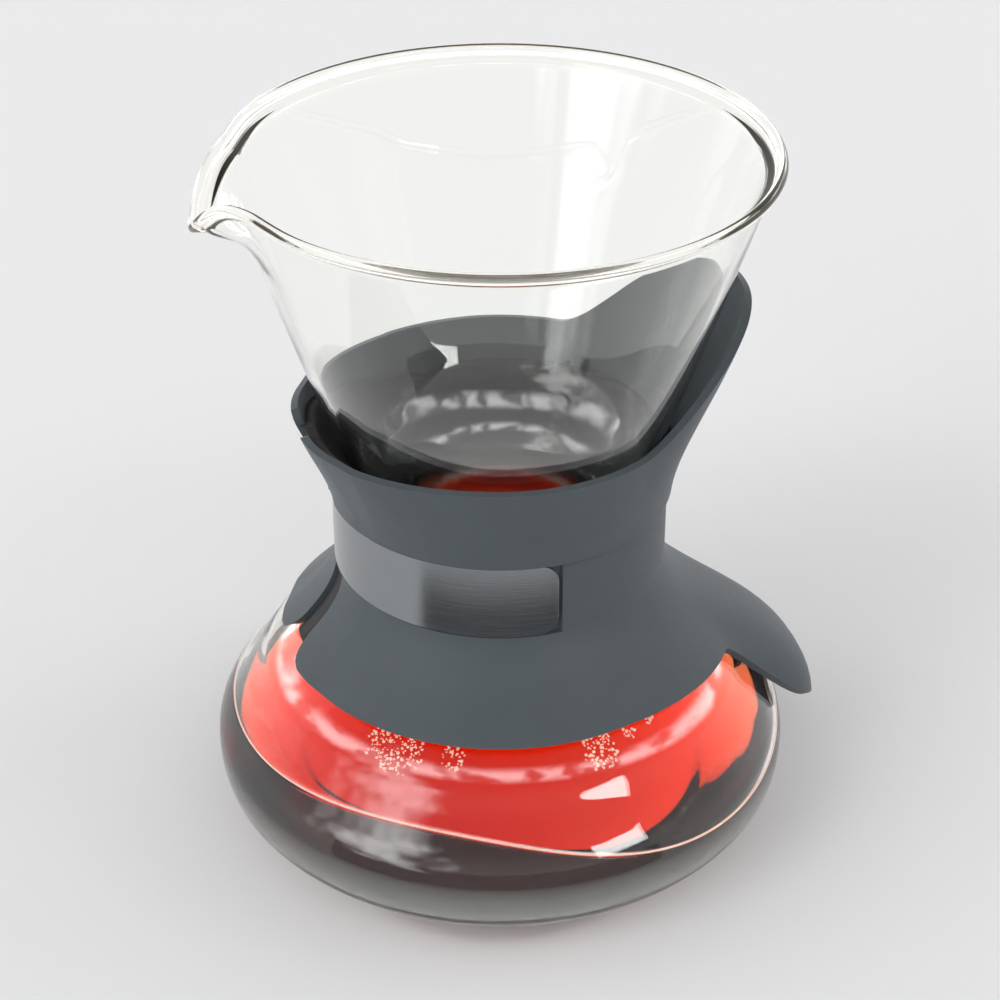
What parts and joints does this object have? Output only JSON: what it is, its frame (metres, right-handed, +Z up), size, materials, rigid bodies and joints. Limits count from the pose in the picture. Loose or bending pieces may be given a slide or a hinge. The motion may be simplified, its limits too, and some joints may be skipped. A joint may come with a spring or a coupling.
{
  "type": "glass drip coffee carafe",
  "caption": "Waisted glass carafe with a cone mouth, pouring lip and round bowl, held by a soft grip jacket with a wing and a tail under an open clip.",
  "frame": {"origin": "centre of the flat underside of the glass, on the vessel's axis", "axes": "+Z up the vessel's axis, -X towards the pouring lip and the slit of the grip, +X towards the wing and the tail"},
  "size_m": [0.1615, 0.15, 0.19],
  "materials": {
    "clear_glass": "clear, polished",
    "black_rubber": "matte",
    "soft_grey_plastic": "soft touch",
    "satin_steel": "satin"
  },
  "bodies": {
    "root": {"carafe_glass": "clear_glass", "grip_liner": "black_rubber", "grip_jacket": "soft_grey_plastic", "band_clip": "satin_steel"}
  },
  "joints": []
}
